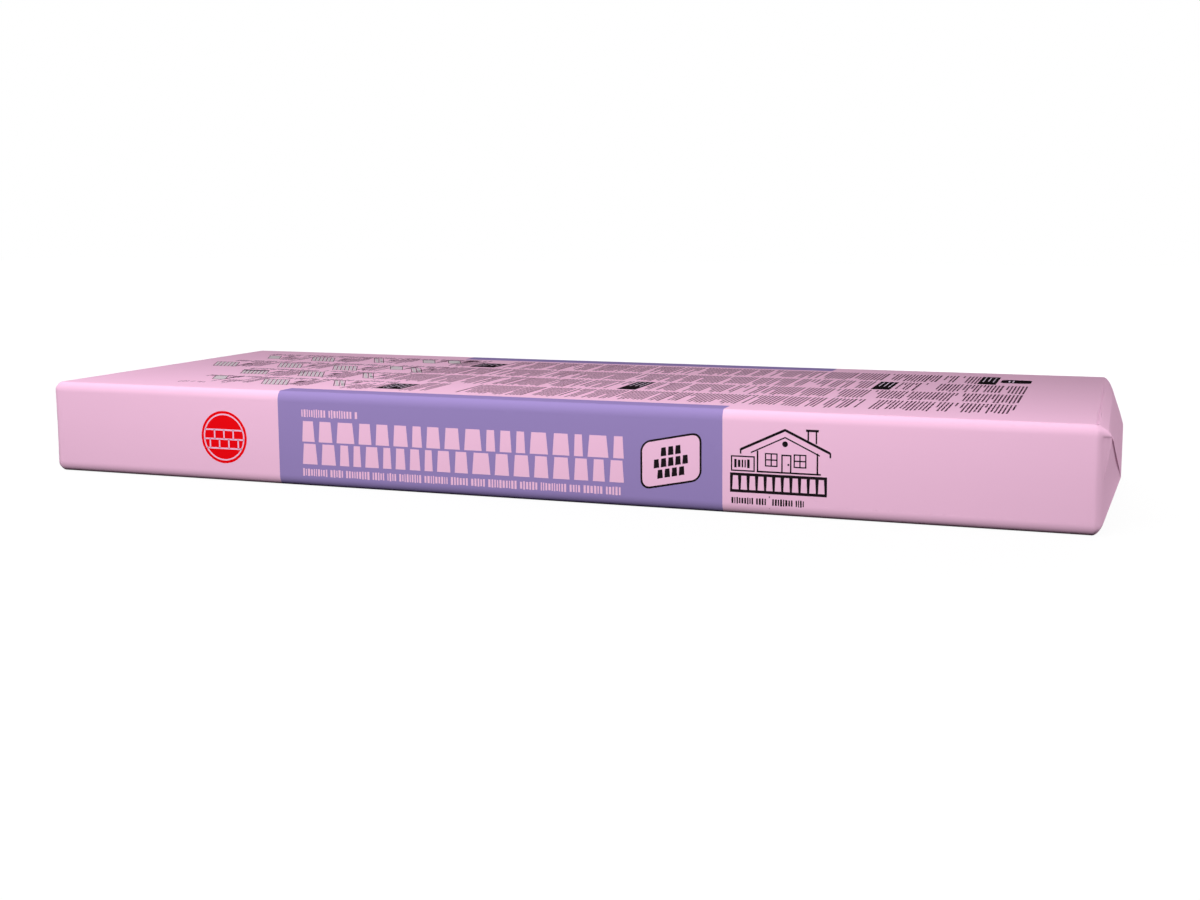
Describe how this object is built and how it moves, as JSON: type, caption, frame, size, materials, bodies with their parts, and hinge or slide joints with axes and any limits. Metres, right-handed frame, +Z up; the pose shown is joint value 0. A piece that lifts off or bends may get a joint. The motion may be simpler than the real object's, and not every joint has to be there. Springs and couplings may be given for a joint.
{
  "type": "asphalt shingle bundle",
  "caption": "Wrapped bundle of laminated asphalt roof shingles in printed plastic film with folded ends.",
  "frame": {"origin": "under the middle of the bundle, on the face that it lies on", "axes": "+X along the length of the shingles, +Y across their width away from the printed front, +Z up through the stack"},
  "size_m": [1.044, 0.3478, 0.0902],
  "materials": {
    "film": "satin printed polyethylene film, pink with a lilac band",
    "shingle": "mineral granules on asphalt"
  },
  "bodies": {
    "root": {"film_wrapper": "film", "shingle_01": "shingle", "shingle_02": "shingle", "shingle_03": "shingle", "shingle_04": "shingle", "shingle_05": "shingle", "shingle_06": "shingle", "shingle_07": "shingle", "shingle_08": "shingle", "shingle_09": "shingle", "shingle_10": "shingle", "shingle_11": "shingle", "shingle_12": "shingle", "shingle_13": "shingle", "shingle_14": "shingle", "shingle_15": "shingle", "shingle_16": "shingle", "shingle_17": "shingle", "shingle_18": "shingle", "shingle_19": "shingle", "shingle_20": "shingle", "shingle_21": "shingle", "shingle_22": "shingle"}
  },
  "joints": []
}
